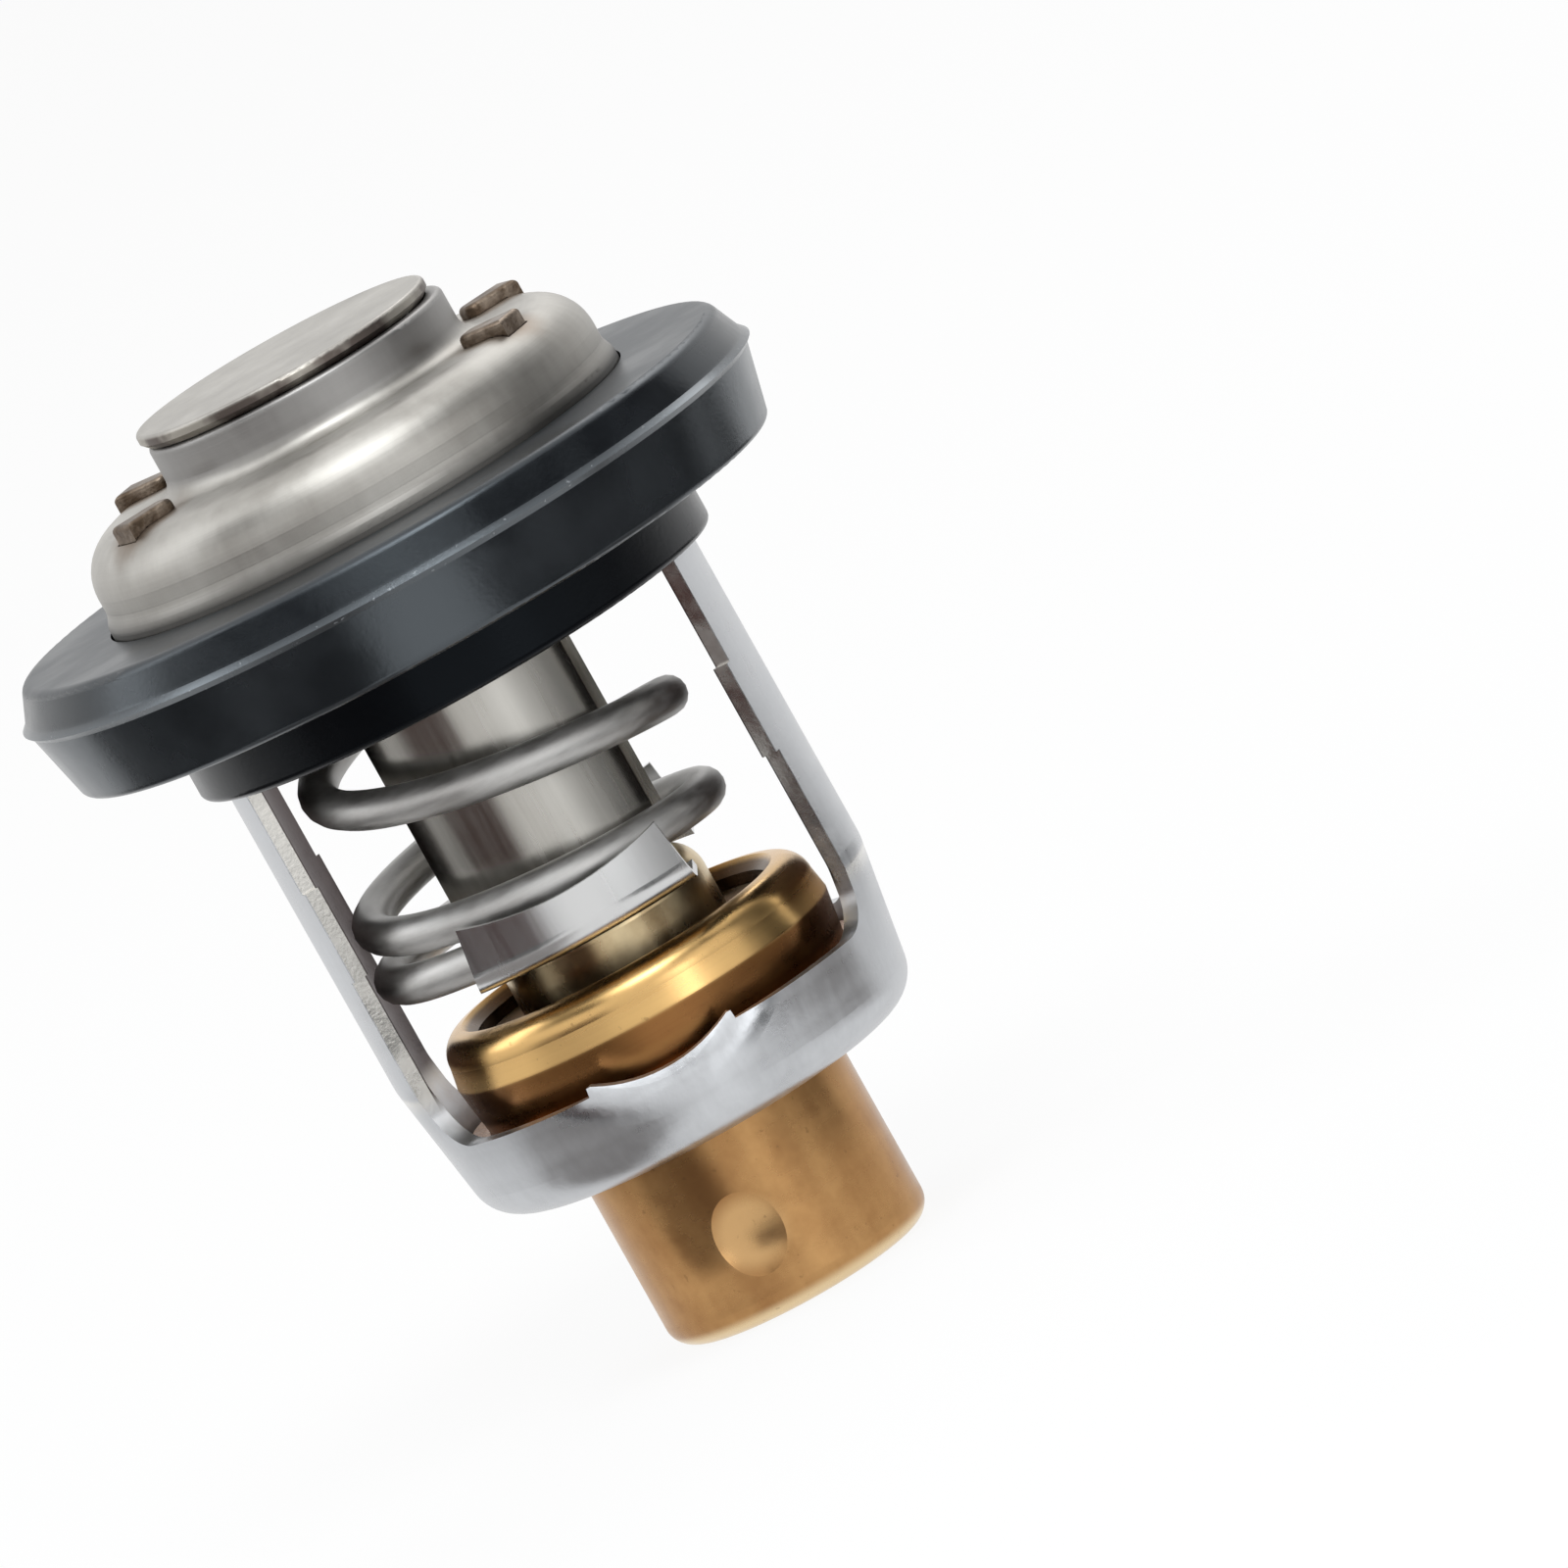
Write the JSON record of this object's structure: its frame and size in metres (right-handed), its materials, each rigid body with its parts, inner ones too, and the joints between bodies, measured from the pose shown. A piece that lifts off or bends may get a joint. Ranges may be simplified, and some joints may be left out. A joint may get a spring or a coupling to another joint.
{
  "type": "engine thermostat",
  "caption": "Wax-element coolant thermostat: a brass bulb in a pressed steel frame lifts a sprung disc valve off a domed flange with a rubber seal ring.",
  "frame": {"origin": "centre of the flat end face of the wax bulb", "axes": "+Z along the axis from the wax bulb to the valve disc, frame legs on +X and -X, front window towards -Y"},
  "size_m": [0.0406, 0.0406, 0.0525],
  "materials": {
    "frame_steel": "satin stainless sheet, heat tinted on the prongs",
    "flange_steel": "satin drawn stainless sheet",
    "disc_steel": "satin stainless",
    "carriage_steel": "bright drawn stainless sheet",
    "spring_steel": "drawn stainless wire",
    "piston_steel": "ground stainless",
    "seal_rubber": "black moulded rubber with a mould line",
    "inner_rubber": "black rubber",
    "case_brass": "dull drawn brass",
    "guide_brass": "turned brass",
    "wax": "solid wax",
    "backup_plastic": "plain white"
  },
  "bodies": {
    "housing": {"frame": "frame_steel", "seat_flange": "flange_steel", "seal_ring": "seal_rubber", "wax_case": "case_brass", "wax_charge": "wax", "diaphragm": "inner_rubber", "guide_bush": "guide_brass", "return_spring": "spring_steel"},
    "valve": {"valve_disc": "disc_steel", "valve_carriage": "carriage_steel", "lift_piston": "piston_steel", "backup_disc": "backup_plastic", "rubber_plug": "inner_rubber"}
  },
  "joints": [
    {"name": "valve_lift", "type": "slide", "parent": "housing", "child": "valve", "axis": [0, 0, 1], "range_m": [0, 0.004], "stiffness_N_per_m": 1500, "springref_m": -0.008, "deforming": ["return_spring"]}
  ]
}
